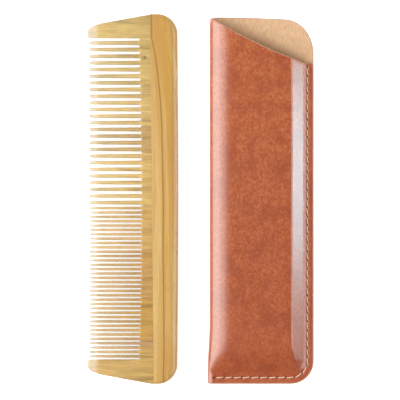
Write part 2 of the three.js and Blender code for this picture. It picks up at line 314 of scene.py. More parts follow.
def add_light(name, direction, distance, size, brightness, colour=(1, 1, 1), aside=0.0):
    """A softbox aimed at the object. direction is (round from +X, above the table) in degrees, and
    aside moves it along the object's length."""
    round_angle, above = (math.radians(angle) for angle in direction)
    light = bpy.data.lights.new(name, "AREA")
    light.shape = "RECTANGLE"
    light.size, light.size_y = size
    light.energy, light.color = brightness * math.pi * size[0] * size[1], colour
    holder = placed(name, light)
    flat = distance * math.cos(above)
    x, y, z = flat * math.cos(round_angle), flat * math.sin(round_angle), distance * math.sin(above)
    holder.location = (x, y + aside, z)
    aim = -Vector((holder.location.x, holder.location.y - aside, holder.location.z))
    holder.rotation_mode = "QUATERNION"
    holder.rotation_quaternion = aim.to_track_quat("-Z", "Y")
    holder.visible_camera = False


def add_lights():
    """Softboxes for the glossy slopes and rounded edges to mirror. Seen from above, a surface that
    leans by L degrees mirrors what stands 90 - 2 L degrees above the table on its side."""
    add_light("left_panel", (180, 35), 0.62, (0.9, 0.44), 4.9, (0.96, 1.0, 0.98))
    add_light("left_high_panel", (180, 63), 0.72, (0.9, 0.3), 3.2, (1.0, 0.99, 0.97))
    add_light("right_low_strip", (0, 11), 0.62, (0.13, 0.24), 12.0, (0.64, 0.92, 1.0), aside=0.025)
    add_light("right_panel", (0, 37), 0.66, (0.9, 0.26), 3.3, (1.0, 0.97, 0.97))
    add_light("far_panel", (90, 38), 1.0, (0.9, 0.5), 0.7)


def add_stage():
    """A white room with its lights, and a plain white table."""
    world = bpy.data.worlds.new("white_room")
    world.use_nodes = True
    background = world.node_tree.nodes["Background"]
    background.inputs["Color"].default_value = (1.0, 1.0, 1.0, 1.0)
    background.inputs["Strength"].default_value = ROOM_LIGHT
    bpy.context.scene.world = world
    bpy.context.scene.view_settings.view_transform = "Standard"
    add_lights()

    mesh = bpy.data.meshes.new("table")
    corners = [(x * TABLE_HALF, y * TABLE_HALF, 0) for x, y in ((-1, -1), (1, -1), (1, 1), (-1, 1))]
    mesh.from_pydata(corners, [], [(0, 1, 2, 3)])
    floor = placed("table", mesh)
    floor.location.z = -TABLE_DROP
    paint = Nodes("white_table")
    paint.set({"Base Color": (0.9, 0.9, 0.9, 1), "Roughness": 0.85, "Specular IOR Level": 0.2})
    paint.set({"Emission Color": (1, 1, 1, 1), "Emission Strength": TABLE_GLOW})
    mesh.materials.append(paint.material)


# -------- material helpers

TONE = 0.745  # surface colour over the colour seen under these lights
GLOSS = 0.032  # light that an oiled or waxed surface adds, as a share of white
LEATHER_GLOSS = 0.03
DARKEST = 0.002


def seen(colour, gloss):
    """The surface colour that looks like this 0-255 screen colour under the scene's lights,
    once the light that the surface's gloss adds is taken off."""
    linear = []
    for value in colour:
        value /= 255
        value = value / 12.92 if value <= 0.04045 else ((value + 0.055) / 1.055) ** 2.4
        linear.append(max(value - gloss, DARKEST))
    return (*(TONE * value for value in linear), 1.0)


class Nodes:
    """A material's node tree, with one short call for each kind of node. Colours are given as they
    look on a screen, 0 to 255."""

    def __init__(self, name, gloss=GLOSS):
        self.gloss = gloss
        self.material = bpy.data.materials.new(name)
        self.material.use_nodes = True
        self.tree = self.material.node_tree
        self.shader = self.tree.nodes["Principled BSDF"]

    def put(self, socket, value):
        """Links a socket to another node's output, or gives it a constant."""
        if isinstance(value, bpy.types.NodeSocket):
            self.tree.links.new(value, socket)
        else:
            socket.default_value = value

    def set(self, inputs):
        for name, value in inputs.items():
            self.put(self.shader.inputs[name], value)

    def add(self, kind, inputs=(), **settings):
        node = self.tree.nodes.new("ShaderNode" + kind)
        for name, value in settings.items():
            setattr(node, name, value)
        for name, value in dict(inputs).items():
            self.put(node.inputs[name], value)
        return node

    def math(self, operation, *values):
        node = self.add("Math", operation=operation)
        for socket, value in zip(node.inputs, values):
            self.put(socket, value)
        return node.outputs[0]

    def place(self):
        """X, Y and Z of the surface in millimetres."""
        scaled = self.add("VectorMath", operation="SCALE")
        self.put(scaled.inputs[0], self.add("TexCoord").outputs["Object"])
        self.put(scaled.inputs["Scale"], 1 / MM)
        split = self.add("SeparateXYZ", {"Vector": scaled.outputs[0]})
        return split.outputs[0], split.outputs[1], split.outputs[2]

    def join(self, place, scale):
        """A vector from X, Y and Z, each first multiplied by its own scale."""
        parts = [self.math("MULTIPLY", part, by) for part, by in zip(place, scale)]
        return self.add("CombineXYZ", dict(zip("XYZ", parts))).outputs[0]

    def noise(self, place, scale, detail, rough=0.55, distort=0.0):
        """Smooth noise, with so many waves per millimetre along X, Y and Z."""
        inputs = {"Vector": self.join(place, scale), "Scale": 1.0, "Detail": detail}
        inputs |= {"Roughness": rough, "Distortion": distort}
        return self.add("TexNoise", inputs).outputs["Fac"]

    def cells(self, place, per_mm):
        """Distance from the middle of rounded cells."""
        inputs = {"Vector": self.join(place, (1, 1, 1)), "Scale": per_mm, "Randomness": 1.0}
        return self.add("TexVoronoi", inputs, feature="SMOOTH_F1").outputs["Distance"]

    def span(self, value, low, high, to_low=0.0, to_high=1.0, smoothly=True):
        """Maps low..high to to_low..to_high and holds the ends."""
        kind = "SMOOTHSTEP" if smoothly else "LINEAR"
        inputs = {"Value": value, "From Min": low, "From Max": high, "To Min": to_low, "To Max": to_high}
        return self.add("MapRange", inputs, interpolation_type=kind).outputs["Result"]

    def ramp(self, value, stops):
        """A colour that goes through (position, colour) stops as the value goes from 0 to 1."""
        node = self.add("ValToRGB", {"Fac": value})
        points = node.color_ramp.elements
        while len(points) < len(stops):
            points.new(0.5)
        for point, (position, _) in zip(points, stops):
            point.position = position
        for point, (_, colour) in zip(points, stops):
            point.color = seen(colour, self.gloss)
        return node.outputs["Color"]

    def blend(self, share, first, second):
        """Goes from the first colour to the second, a screen colour or an output, as share rises."""
        if not isinstance(second, bpy.types.NodeSocket):
            second = seen(second, self.gloss)
        node = self.add("Mix", data_type="RGBA", blend_type="MIX")
        node.clamp_factor = True
        for socket, value in zip((0, 6, 7), (share, first, second)):
            self.put(node.inputs[socket], value)
        return node.outputs[2]

    def stain(self, colour, tone, share, value, low, high):
        """Lays up to this share of a tone over a colour, as value goes from low to high."""
        return self.blend(self.span(value, low, high, 0.0, share), colour, tone)

    def along(self, y):
        """0 at the comb's -Y end and 1 at its +Y end."""
        return self.span(y, -HALF_LENGTH, HALF_LENGTH, smoothly=False)

    def far(self, value, centre):
        """Distance of a value from a centre."""
        return self.math("ABSOLUTE", self.math("SUBTRACT", value, centre))

    def bump(self, height, depth, before=None):
        """A bump of this depth in millimetres, on top of an earlier one."""
        inputs = {"Height": height, "Strength": 1.0, "Distance": depth * MM}
        if before is not None:
            inputs["Normal"] = before
        return self.add("Bump", inputs).outputs["Normal"]


# -------- comb geometry

ROW_LENGTH = 2 * HALF_LENGTH - 2 * GUARD_SPAN
COARSE_PITCH = ROW_LENGTH / (COARSE_COUNT + FINE_COUNT / COARSE_TO_FINE)
FINE_PITCH = COARSE_PITCH / COARSE_TO_FINE
TOOTH_COUNT = COARSE_COUNT + FINE_COUNT
TONGUE_REACH = HALF_LENGTH - TONGUE_SETBACK

PLAIN, LIPPED, STEPPED = 0, 1, 2  # a column's wall: plain, marked at the tongue's height, or stepped
ROUND_STEPS = 4
CREASE = 15  # degrees by which a rounded edge already leans where it leaves the flat face


def seam_x(y):
    """X of the glue seam at a Y."""
    return COMB_WIDTH - SPINE_WIDTH - SEAM_SKEW * y / (2 * HALF_LENGTH)


def half_thickness(x):
    """Half the comb's thickness: full at the board, a wedge along the teeth, a bevel at their tips."""
    bevel = mix(TIP_HALF, BEVEL_HALF, x / BEVEL_RUN)
    wedge = mix(BEVEL_HALF, HALF_THICKNESS, (x - BEVEL_RUN) / (ROOT_DEPTH - BEVEL_RUN))
    return max(soft_min(soft_min(bevel, wedge, 0.12), HALF_THICKNESS, 0.04), TIP_HALF - 0.15)


def gap_y(count):
    """Y of the middle of the gap that follows the first `count` teeth."""
    coarse = min(count, COARSE_COUNT)
    return ROW_LENGTH / 2 - coarse * COARSE_PITCH - (count - coarse) * FINE_PITCH


def bowed(edge, bow, y):
    """X of a line across the teeth that bows by this much at mid-length."""
    return edge + bow * (1 - (2 * y / ROW_LENGTH) ** 2)


def pitch_of(tooth):
    return COARSE_PITCH if tooth < COARSE_COUNT else FINE_PITCH


def column(x, y, run, rise, wall=PLAIN, step=0.0):
    """One upright line of the outline. run is the rounding's reach from the edges before and after."""
    runs = run if isinstance(run, tuple) else (run, run)
    return {"x": x, "y": y, "runs": runs, "rise": rise, "wall": wall, "step": step}


def share_at(distance, reach):
    """A tooth's share of its pitch, at a distance behind the line of tips."""
    if distance < POINT_RUN:
        return mix(POINT_SHARE, TIP_SHARE, math.sin(distance / POINT_RUN * math.pi / 2))
    return mix(TIP_SHARE, ROOT_SHARE, (distance - POINT_RUN) / (reach - POINT_RUN))


def tooth_ease(half_width, x):
    """Run and rise of the rounding along a tooth's edges."""
    run = min(TOOTH_EASE, 0.5 * half_width)
    return run, min(1.25 * run, 0.8 * half_thickness(x))


SIDE_STATIONS = [0.35, 0.8, 1.4, 2.2, 3.2, 4.2, 5.4, 7.5, 10.5, 14, 17.5, 21]  # behind the tip


def gap_bottom(gap):
    """Y of a gap's middle, X where its round bottom starts, and how far that bottom reaches."""
    y = gap_y(gap)
    reach = pitch_of(max(gap - 1, 0)) * (1 - ROOT_SHARE) / 2
    return y, bowed(ROOT_DEPTH, ROOT_BOW, y) - reach, reach


def gap_side(gap, tooth, below):
    """Columns along one side of a gap, from the tip of the tooth beside it to the gap's root."""
    y, root_x, _ = gap_bottom(gap)
    pitch = pitch_of(tooth)
    tip_x = bowed(TIP_SETBACK, TIP_BOW, y)
    sign = -1 if below else 1
    columns = []
    for x in [*(tip_x + d for d in SIDE_STATIONS), root_x]:
        share = share_at(x - tip_x, root_x - tip_x)
        run, rise = tooth_ease(pitch * share / 2, x)
        columns.append(column(x, y + sign * pitch * (1 - share) / 2, run, rise))
    return columns


def gap_root(gap, tooth, below):
    """Columns round half of a gap's root, from its side to its middle line."""
    y, root_x, reach = gap_bottom(gap)
    half = pitch_of(tooth) * (1 - ROOT_SHARE) / 2
    sign = -1 if below else 1
    points = arc((root_x, y), (reach, sign * half), 90, 0, 4)
    return [column(px, py, *ROOT_EASE) for px, py in points[1:]]


def tooth_tip(tooth):
    """Columns round a tooth's rounded end, from its upper side to its lower one."""
    y = (gap_y(tooth) + gap_y(tooth + 1)) / 2
    half = pitch_of(tooth) * POINT_SHARE / 2
    tip_x = bowed(TIP_SETBACK, TIP_BOW, y)
    centre, reach, start, end = POINT_ROUND
    points = arc((tip_x + centre, y), (reach, half), start, end, 6)
    return [column(px, py, 0.42 * half, 0.3) for px, py in points]


def guard_columns(top):
    """Columns from the seam round a guard tooth to its side of the end gap, at the +Y end."""
    run, rise = END_ROUND
    slope = GUARD_DROP / (COMB_WIDTH - SPINE_WIDTH)
    guard_y = HALF_LENGTH - GUARD_DROP
    seam = seam_x(HALF_LENGTH if top else -HALF_LENGTH) - GLUE_LINE / 2
    corner_y = min(guard_y + slope * seam, HALF_LENGTH)
    columns = [column(seam, corner_y, (JOINT_EASE, run), rise)]
    round_x, round_y = GUARD_TIP_ROUND
    for x in np.linspace(seam - 1.2, round_x + 1.5, 12):
        columns.append(column(x, guard_y + slope * x, run, rise))
    start = (round_x, guard_y + slope * round_x)
    for x, y in quadratic(start, (0, guard_y - GUARD_TIP_BULGE), (0, guard_y - round_y), 10):
        columns.append(column(x, y, mix(0.5, run, x / round_x), mix(0.42, rise, x / round_x)))
    first = gap_y(0) + COARSE_PITCH * (1 - POINT_SHARE) / 2
    if not top:
        first = -gap_y(TOOTH_COUNT) + FINE_PITCH * (1 - POINT_SHARE) / 2
    radius = GUARD_GAP_RADIUS
    for x, y in arc((radius, first + radius), (radius, radius), 180, 270, 4):
        columns.append(column(x, y, 0.4, 0.4))
    return columns


def mirrored(columns):
    """The same columns at the other end of the comb, in the loop's order."""
    flipped = [dict(c, y=-c["y"], runs=c["runs"][::-1]) for c in columns]
    return flipped[::-1]


def seam_columns(low, high, offset, step, low_end, high_end):
    """Columns up the seam, with the tongue or groove between the comb's two setbacks."""
    tongue_low, tongue_high = max(low, -TONGUE_REACH), min(high, TONGUE_REACH)

    def at(y, wall=PLAIN):
        outwards = step if wall == STEPPED else 0.0
        return column(seam_x(y) + offset, y, JOINT_EASE, JOINT_EASE, wall, outwards)

    columns = []
    if low_end:
        columns += [at(low + 2.2), at(tongue_low - 0.5)]
    columns += [at(tongue_low, LIPPED), at(tongue_low, STEPPED)]
    pieces = max(int((tongue_high - tongue_low) / 8), 1)
    columns += [at(y, STEPPED) for y in np.linspace(tongue_low, tongue_high, pieces + 1)[1:-1]]
    columns += [at(tongue_high, STEPPED), at(tongue_high, LIPPED)]
    if high_end:
        columns += [at(tongue_high + 0.5), at(high - 2.2)]
    return columns


def block_columns(first, count):
    """The outline of one block of the tooth board, anticlockwise from the foot of its seam."""
    last = first + count
    top_end, low_end = first == 0, last == TOOTH_COUNT
    high = HALF_LENGTH if top_end else gap_y(first) - GLUE_LINE / 2
    low = -HALF_LENGTH if low_end else gap_y(last) + GLUE_LINE / 2
    columns = seam_columns(low, high, -GLUE_LINE / 2, TONGUE_DEPTH, low_end, top_end)
    if top_end:
        columns += guard_columns(True)
        columns += gap_side(0, 0, False) + gap_root(0, 0, False)
    for tooth in range(first, last):
        root = gap_root(tooth, tooth, True)[::-1]
        if tooth > first or top_end:
            columns += root[1:]
        else:
            root[0].update(y=high, runs=(JOINT_EASE, ROOT_EASE[0]))
            columns += root
        columns += gap_side(tooth, tooth, True)[::-1]
        columns += tooth_tip(tooth)
        columns += gap_side(tooth + 1, tooth, False)
        columns += gap_root(tooth + 1, tooth, False)
    if low_end:
        columns += gap_root(TOOTH_COUNT, TOOTH_COUNT - 1, True)[::-1][1:]
        columns += gap_side(TOOTH_COUNT, TOOTH_COUNT - 1, True)[::-1]
        columns += mirrored(guard_columns(False))
    else:
        columns[-1].update(y=low, runs=(ROOT_EASE[0], JOINT_EASE))
    return columns


def spine_columns():
    """The spine's outline, anticlockwise from the foot of its seam."""
    side = COMB_WIDTH - SPINE_CROWN
    centre = side - CORNER_RADIUS
    turn = HALF_LENGTH - CORNER_RADIUS
    corner = arc((centre, -turn), (CORNER_RADIUS, CORNER_RADIUS), -90, 0, 16)
    foot_x = seam_x(-HALF_LENGTH) + GLUE_LINE / 2
    head_x = seam_x(HALF_LENGTH) + GLUE_LINE / 2
    bottom = [(x, -HALF_LENGTH) for x in np.linspace(foot_x, centre, 4)][1:-1] + corner
    back = quadratic((side, -turn), (COMB_WIDTH + SPINE_CROWN, 0), (side, turn), 40)[1:-1]
    top_corner = [(x, -y) for x, y in corner[::-1]]
    top = [(x, HALF_LENGTH) for x in np.linspace(centre, head_x, 4)][1:-1]
    columns = [column(foot_x, -HALF_LENGTH, (JOINT_EASE, END_ROUND[0]), END_ROUND[1])]
    for x, y in [*bottom, *back, *top_corner, *top]:
        share = smooth((x - foot_x) / (side - foot_x) * 1.1 - 0.1)
        run, rise = (mix(END_ROUND[k], BACK_ROUND[k], share) for k in range(2))
        columns.append(column(x, y, run, rise))
    columns.append(column(head_x, HALF_LENGTH, (END_ROUND[0], JOINT_EASE), END_ROUND[1]))
    groove = -TONGUE_DEPTH - TONGUE_SLACK
    seam = seam_columns(-HALF_LENGTH, HALF_LENGTH, GLUE_LINE / 2, groove, True, True)
    return columns + seam[::-1]


def plate(columns, tongue_half):
    """Points and faces of a plate with rounded edges over an outline of columns."""
    flat = [(c["x"], c["y"]) for c in columns]
    normals = edge_normals(flat)
    turns = np.radians(np.linspace(CREASE, 90, ROUND_STEPS + 1))
    rings = [[] for _ in range(2 * (ROUND_STEPS + 1) + 4)]
    for index, col in enumerate(columns):
        before, after = normals[index - 1], normals[index]
        move = inward(before, after, *col["runs"])
        outward = (before + after) / np.hypot(*(before + after))
        x, y, rise = col["x"], col["y"], col["rise"]
        upper = []
        for turn in turns:
            reach = (1 - math.sin(turn)) / (1 - math.sin(turns[0]))
            drop = 1 - math.cos(turn) / math.cos(turns[0])
            px, py = np.array([x, y]) + move * reach
            upper.append((px, py, half_thickness(px) - rise * drop))
        edge = upper[-1][2]
        lip = edge if col["wall"] == PLAIN else tongue_half
        tip = (x + outward[0] * col["step"], y + outward[1] * col["step"])
        middle = [(x, y, lip), (*tip, lip), (*tip, -lip), (x, y, -lip)]
        lower = [(px, py, -pz) for px, py, pz in upper[::-1]]
        for ring, point in zip(rings, [*upper, *middle, *lower]):
            ring.append((point[0] + COMB_LEFT, point[1], point[2] + HALF_THICKNESS))
    count = len(columns)
    points = [point for ring in rings for point in ring]
    faces = ring_faces(0, count, len(rings))
    cap = triangulate([p[:2] for p in rings[0]], range(count))
    base = (len(rings) - 1) * count
    faces += cap + [[base + v for v in face[::-1]] for face in cap]
    return points, faces


def add_comb():
    """The spine and the blocks of the tooth board."""
    spine = plate(spine_columns(), TONGUE_HALF + TONGUE_SLACK)
    make_piece("comb_spine_wood", spine, "comb", "comb_spine", [spine_wood()])
    first = 0
    for index, count in enumerate(BLOCK_TEETH):
        block, node = plate(block_columns(first, count), TONGUE_HALF), BLOCK_NODES[index]
        make_piece(f"{node}_wood", block, "comb", node, [block_wood(index)])
        first += count


# -------- wood materials

BLOCK_TONES = [(208, 175, 108), (215, 179, 113), (196, 159, 101), (219, 181, 110),
               (213, 170, 102), (203, 156, 90), (203, 156, 81), (208, 167, 97)]
GRAIN_SLANT = 0.05  # most that a block's grain runs off the line of its teeth
DARK_BAND_Y = -71.0  # of the purple-brown band across the board, before the figure shifts it by about -3
KNOT = (-28.7, 72.6)  # X and Y of the small dark fleck in the board
# The spine's tones from its -Y end to its +Y end, beside the seam and beside the back edge.
SEAM_TONES = [(0.06, (212, 171, 103)), (0.23, (219, 180, 112)), (0.37, (222, 182, 115)),
              (0.63, (220, 180, 113)), (0.77, (214, 170, 101)), (0.95, (206, 159, 86))]
BACK_TONES = [(0.06, (206, 157, 85)), (0.16, (213, 171, 102)), (0.35, (208, 163, 88)),
              (0.6, (205, 159, 85)), (0.77, (206, 162, 82)), (0.92, (206, 158, 76))]
TONE_CHANGE = (-22.5, -17.5)  # X over which the spine goes from the first of these to the second
SWEEP_START, SWEEP_FADE, SWEEP_WIDTH = 82.9, 23.2, 6.2  # of the spine's grain at its +Y end
SPINE_LINE_X = -24.6  # of the spine's dark line at its +Y end, before the sweep and the wander


def finish_wood(wood, colour, pores, fibres):
    """The oiled finish that the spine and the tooth board share."""
    wood.set({"Base Color": colour, "Specular IOR Level": 0.5, "Coat Weight": 0.9, "Coat Roughness": 0.2})
    wood.set({"Roughness": wood.span(fibres, 0.3, 0.7, 0.34, 0.5)})
    filled = wood.math("SUBTRACT", 1.0, wood.span(pores, 0.58, 0.7))
    wood.set({"Normal": wood.bump(filled, 0.035, wood.bump(fibres, 0.02))})
    return wood.material


def block_wood(index):
    """Wood whose grain runs along the teeth, in one block's own tone."""
    wood = Nodes(f"tooth_wood_{index + 1}")
    x, y, z = wood.place()
    tone = BLOCK_TONES[index]
    dark, darker, light = (tuple(min(255, value * by) for value in tone) for by in (0.82, 0.76, 1.07))
    slanted = wood.math("MULTIPLY_ADD", x, GRAIN_SLANT * math.sin(2.1 * index + 0.6), y)
    grain = (x, wood.math("ADD", slanted, 37.0 * index), z)
    figure = wood.noise(grain, (0.035, 0.33, 0.25), 3.0, 0.5, 0.7)
    fibres = wood.noise(grain, (0.09, 2.2, 1.6), 3.0, 0.6)
    pores = wood.noise(grain, (0.5, 7.5, 7.5), 1.0, 0.5)
    colour = wood.ramp(figure, [(0.3, dark), (0.5, tone), (0.72, light)])
    colour = wood.stain(colour, darker, 0.4, fibres, 0.42, 0.62)
    colour = wood.stain(colour, (146, 104, 58), 0.35, pores, 0.62, 0.7)
    from_band = wood.far(wood.math("MULTIPLY_ADD", figure, 6.0, y), DARK_BAND_Y)
    colour = wood.stain(colour, (182, 132, 104), 0.45, from_band, 3.6, 0.6)
    from_knot = wood.math("ADD", wood.far(x, KNOT[0]), wood.far(y, KNOT[1]))
    colour = wood.stain(colour, (104, 76, 38), 0.7, from_knot, 1.3, 0.3)
    # Paler towards the tips over the teeth: partly sanded wood and partly painted highlight.
    in_teeth = wood.math("LESS_THAN", wood.math("ABSOLUTE", y), ROW_LENGTH / 2)
    painted_light_share = wood.span(x, COMB_LEFT + 5, COMB_LEFT + ROOT_DEPTH, 0.45, 0.0)
    colour = wood.blend(wood.math("MULTIPLY", in_teeth, painted_light_share), colour, (214, 192, 150))
    # Grey on the thin bevel at the tips: painted highlight for the bevel's reflection of the lights.
    bevel = wood.span(x, COMB_LEFT + 0.5 * BEVEL_RUN, COMB_LEFT + 1.2 * BEVEL_RUN, 0.45, 0.0)
    colour = wood.blend(bevel, colour, (190, 174, 156))
    return finish_wood(wood, colour, pores, fibres)


def spine_wood():
    """Wood whose grain runs along the spine and sweeps in from the back edge at the +Y end."""
    wood = Nodes("spine_wood")
    x, y, z = wood.place()
    below = wood.math("MULTIPLY_ADD", y, -1 / SWEEP_FADE, SWEEP_START / SWEEP_FADE)
    fall = wood.math("MULTIPLY", wood.math("MAXIMUM", below, 0.0), -1.0)
    sweep = wood.math("SUBTRACT", 1.0, wood.math("POWER", math.e, fall))
    swept = wood.math("MULTIPLY_ADD", sweep, -SWEEP_WIDTH, x)
    wander = wood.noise((x, y, z), (0.02, 0.02, 0.02), 1.0)
    across = wood.math("MULTIPLY_ADD", wander, 1.6, swept)
    figure = wood.noise((across, y, z), (0.42, 0.012, 0.3), 3.0, 0.5, 0.3)
    fibres = wood.noise((across, y, z), (2.4, 0.06, 1.8), 3.0, 0.6)
    pores = wood.noise((across, y, z), (7.5, 0.4, 7.5), 1.0, 0.5)
    along = wood.along(y)
    seam_side, back_side = wood.ramp(along, SEAM_TONES), wood.ramp(along, BACK_TONES)
    colour = wood.blend(wood.span(x, *TONE_CHANGE), seam_side, back_side)
    colour = wood.stain(colour, (200, 146, 74), 0.55, figure, 0.35, 0.7)
    colour = wood.stain(colour, (232, 197, 132), 0.4, figure, 0.5, 0.3)
    colour = wood.stain(colour, (188, 138, 72), 0.28, fibres, 0.45, 0.62)
    colour = wood.stain(colour, (160, 112, 46), 0.85, wood.far(across, SPINE_LINE_X), 0.6, 0.05)
    colour = wood.stain(colour, (150, 104, 56), 0.3, pores, 0.62, 0.7)
    return finish_wood(wood, colour, pores, fibres)


# -------- sleeve geometry

MOUTH_END = (SLEEVE_WIDTH - MARGIN, SLEEVE_LENGTH - MOUTH_DROP)
RISE = SLEEVE_HEIGHT - MARGIN_HEIGHT
LOW_ARC = math.pi / 2 * math.sqrt((FOLD_LOW_RUN**2 + FOLD_LEVEL**2) / 2)
HIGH_ARC = math.pi / 2 * math.sqrt((FOLD_HIGH_RUN**2 + (SLEEVE_HEIGHT - FOLD_LEVEL) ** 2) / 2)
CORNER_CENTRE = (SLEEVE_WIDTH - BOTTOM_RADIUS, BOTTOM_RADIUS)
FAR = 9.0  # stands for a distance that plays no part


def fullness(x, y):
    """0 on the stitched margin and 1 where the pocket has its full height."""
    least = np.full(np.shape(x), FAR)
    for share in np.linspace(0, 1, 13):  # from the side round to the closed end
        turn = share * math.pi / 2
        run = mix(SIDE_SLOPE, END_SLOPE, share)
        reach = (x - CORNER_CENTRE[0]) * math.cos(turn) - (y - CORNER_CENTRE[1]) * math.sin(turn)
        crease = mix(SIDE_CREASE, END_CREASE, share**1.5)
        facet = soft_min((BOTTOM_RADIUS - MARGIN - reach) / run, 1.0, crease)
        least = np.minimum(least, facet)
    return -soft_min(-least, 0.0, FOOT_CREASE)


def front_height(x, y):
    """Height of the front panel's outer face."""
    full = fullness(x, y)
    waves = 0.5 + 0.5 * np.sin(x / 6.1 + 1.3 * np.sin(y / 23)) * np.sin(y / 17 + x / 19)
    return MARGIN_HEIGHT + RISE * full - PANEL_WAVE * full * waves


def steepness(x, y):
    """Length of a line square to the front panel over its own height."""
    step = 0.05
    dx = (front_height(x + step, y) - front_height(x - step, y)) / (2 * step)
    dy = (front_height(x, y + step) - front_height(x, y - step)) / (2 * step)
    return np.sqrt(1 + dx * dx + dy * dy)


def fold_at(y):
    """Height of the fold's outermost line and the run of its upper curve."""
    full = fullness(np.full(np.shape(y), FOLD_HIGH_RUN), y)
    return mix(MARGIN_HEIGHT / 2, FOLD_LEVEL, full), mix(FOLD_LOW_RUN, FOLD_HIGH_RUN, full)


def sheet_points(s, y, depth):
    """Places on the folded sheet. s runs across the flat blank: the back panel is below zero,
    the fold's outermost line is zero and the front panel is above. depth is under the outer face."""
    s, y, depth = (np.asarray(v, float) for v in np.broadcast_arrays(s, y, depth))
    level, run = fold_at(y)
    low_turn = np.clip(-s / LOW_ARC, 0, 1) * math.pi / 2
    back_x = depth + (FOLD_LOW_RUN - depth) * (1 - np.cos(low_turn)) + np.clip(-s - LOW_ARC, 0, None)
    back_z = level - (level - depth) * np.sin(low_turn)
    high_turn = np.clip(s / HIGH_ARC, 0, 1) * math.pi / 2
    front_x = depth + (run - depth) * (1 - np.cos(high_turn))
    front_x = front_x + np.clip(s - HIGH_ARC, 0, None) * (SLEEVE_WIDTH - run) / (SLEEVE_WIDTH - FOLD_HIGH_RUN)
    beyond = np.maximum(front_x, run)
    top = front_height(beyond, y) - depth * steepness(beyond, y)
    front_z = level + (top - level) * np.sin(high_turn)
    x = np.where(s > 0, front_x, back_x)
    z = np.where(s > 0, front_z, back_z)
    flare = smooth((FLARE_END - y) / FLARE_LENGTH) * (1 - smooth(x / FLARE_REACH))
    x = x - FOLD_FLARE * flare
    return np.stack([x, y, z], axis=-1) + SLEEVE_LOW


def front_s(x, y):
    """Where a place on the front panel lies across the flat blank."""
    _, run = fold_at(np.asarray(y, float))
    turn = np.arccos(np.clip(1 - x / run, -1, 1))
    flat = HIGH_ARC + (x - run) * (SLEEVE_WIDTH - FOLD_HIGH_RUN) / (SLEEVE_WIDTH - run)
    return np.where(np.asarray(x) < run * 0.999, turn / (math.pi / 2) * HIGH_ARC, flat)


def back_s(x):
    """Where a place on the back panel lies across the flat blank."""
    return -LOW_ARC - (np.asarray(x) - FOLD_LOW_RUN)


def outline(inset):
    """The flat blank's outline, anticlockwise, brought in all round by an inset."""
    width, length = SLEEVE_WIDTH, SLEEVE_LENGTH
    front = [(x, 0.0) for x in np.linspace(FOLD_HIGH_RUN + 2, CORNER_CENTRE[0], 16)]
    front += arc(CORNER_CENTRE, (BOTTOM_RADIUS, BOTTOM_RADIUS), -90, 0, 16)[1:]
    radius, low = MOUTH_CORNER, MOUTH_END[1] - MOUTH_CORNER
    front += [(width, y) for y in np.linspace(BOTTOM_RADIUS, low, 62)[1:]]
    front += arc((width - radius, low), (radius, radius), 0, 90, 5)[1:]
    front += [(width - MOUTH_LANDING[0], MOUTH_END[1]), (MOUTH_END[0] + MOUTH_LANDING[1], MOUTH_END[1])]
    middle = ((MOUTH_START + MOUTH_END[0]) / 2, (length + MOUTH_END[1]) / 2 - 2 * MOUTH_SAG)
    front += quadratic(MOUTH_END, middle, (MOUTH_START, length - FOLD_TOP_DROP), 48)
    points = [(float(front_s(x, y)), y) for x, y in front]
    points += [(0.0, length - 0.8 * FOLD_TOP_DROP), (-LOW_ARC, length)]
    corner_x, corner_y = width - TOP_CORNER[0], length - TOP_FALL - TOP_CORNER[1]
    top_x = np.linspace(FOLD_LOW_RUN, corner_x, 18)[1:]
    back = [(x, length - TOP_FALL * (x / corner_x) ** 2) for x in top_x]
    back += arc((corner_x, corner_y), TOP_CORNER, 90, 0, 22)[1:]
    back += [(width, y) for y in np.linspace(corner_y, BOTTOM_RADIUS, 64)[1:]]
    back += arc(CORNER_CENTRE, (BOTTOM_RADIUS, BOTTOM_RADIUS), 0, -90, 16)[1:]
    back += [(x, 0.0) for x in np.linspace(CORNER_CENTRE[0], FOLD_LOW_RUN, 14)[1:]]
    points += [(float(back_s(x)), y) for x, y in back]
    points += [(s, 0.0) for s in np.linspace(-LOW_ARC, HIGH_ARC, 12)[1:]]
    return moved_in(points, inset)


def moved_in(points, inset):
    """A loop with every edge brought in by the same distance."""
    normals = edge_normals(points)
    moved = []
    for index, point in enumerate(points):
        move = inward(normals[index - 1], normals[index], inset, inset)
        moved.append((point[0] + move[0], point[1] + move[1]))
    return moved


def seam_line(distance):
    """Place and direction on the seam, measured from its end at the mouth, in the plane of the sleeve."""
    centre_x, centre_y = CORNER_CENTRE
    into_bend = distance - (SEAM_TOP - centre_y)
    if into_bend < 0:
        return (SEAM_X, SEAM_TOP - distance), (0.0, -1.0)
    if into_bend < SEAM_BEND:
        turn = into_bend / SEAM_RADIUS
        x, y = centre_x + SEAM_RADIUS * math.cos(turn), centre_y - SEAM_RADIUS * math.sin(turn)
        return (x, y), (-math.sin(turn), -math.cos(turn))
    return (centre_x - (into_bend - SEAM_BEND), SEAM_INSET), (-1.0, 0.0)


SEAM_TOP = MOUTH_END[1] - SEAM_TOP_DROP
SEAM_X, SEAM_RADIUS = SLEEVE_WIDTH - SEAM_INSET, BOTTOM_RADIUS - SEAM_INSET
SEAM_BEND = SEAM_RADIUS * math.pi / 2
SEAM_LENGTH = SEAM_TOP - BOTTOM_RADIUS + SEAM_BEND + CORNER_CENTRE[0] - SEAM_END
STITCH_COUNT = round((SEAM_LENGTH - 2 * SEAM_MARGIN) / STITCH_ABOUT)
STITCH_PITCH = (SEAM_LENGTH - 2 * SEAM_MARGIN) / STITCH_COUNT
HOLE_PLACES = [SEAM_MARGIN + STITCH_PITCH * k for k in range(STITCH_COUNT + 1)]


